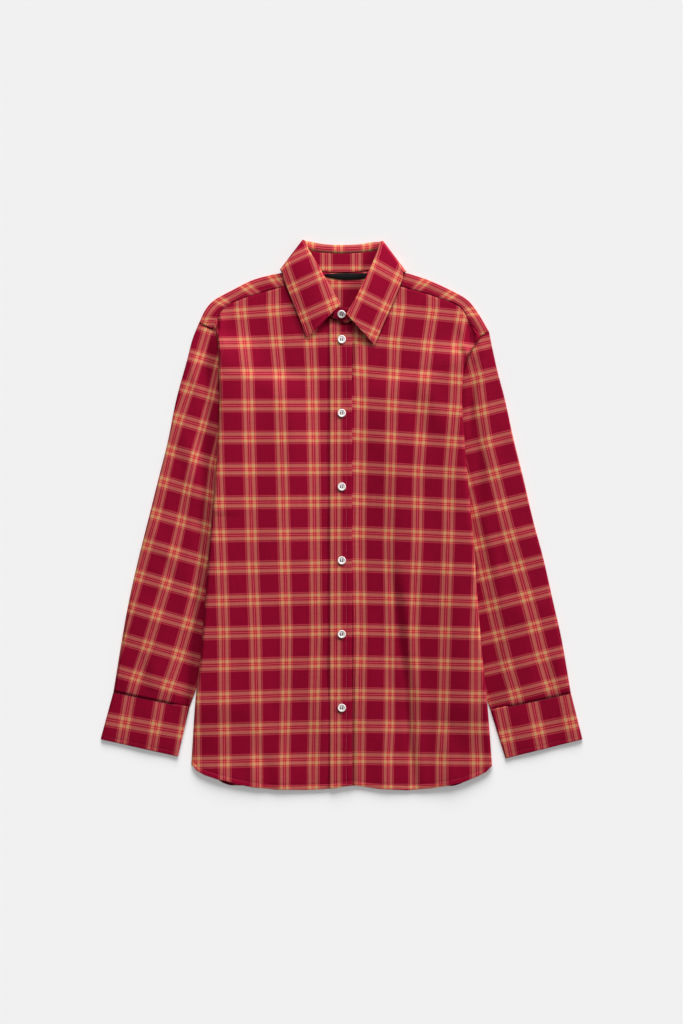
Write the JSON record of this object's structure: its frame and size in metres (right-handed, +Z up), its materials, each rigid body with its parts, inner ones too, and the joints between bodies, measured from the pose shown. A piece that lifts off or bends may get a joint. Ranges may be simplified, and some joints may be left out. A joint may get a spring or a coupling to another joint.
{
  "type": "poplin shirt",
  "caption": "Long-sleeved plaid poplin shirt, buttoned and laid flat, with a turned-down collar, placket front, yoke, curved hem and plain cuffs.",
  "frame": {"origin": "middle of the shirt's outline, on the surface it lies on", "axes": "+X towards the wearer's left sleeve, +Y towards the collar, +Z up from the surface"},
  "size_m": [0.6744, 0.7705, 0.0184],
  "materials": {
    "poplin": "plain-weave cotton, burgundy with tan and red plaid, matt",
    "label": "plain black woven label, matt",
    "button": "white resin, polished"
  },
  "bodies": {
    "root": {"back_panel": "poplin", "yoke": "poplin", "front_right": "poplin", "front_left": "poplin", "placket": "poplin", "sleeve_right": "poplin", "sleeve_left": "poplin", "cuff_right": "poplin", "cuff_left": "poplin", "collar_stand": "poplin", "collar_leaf": "poplin", "neck_label": "label", "button_1": "button", "button_2": "button", "button_3": "button", "button_4": "button", "button_5": "button", "button_6": "button", "button_7": "button"}
  },
  "joints": []
}
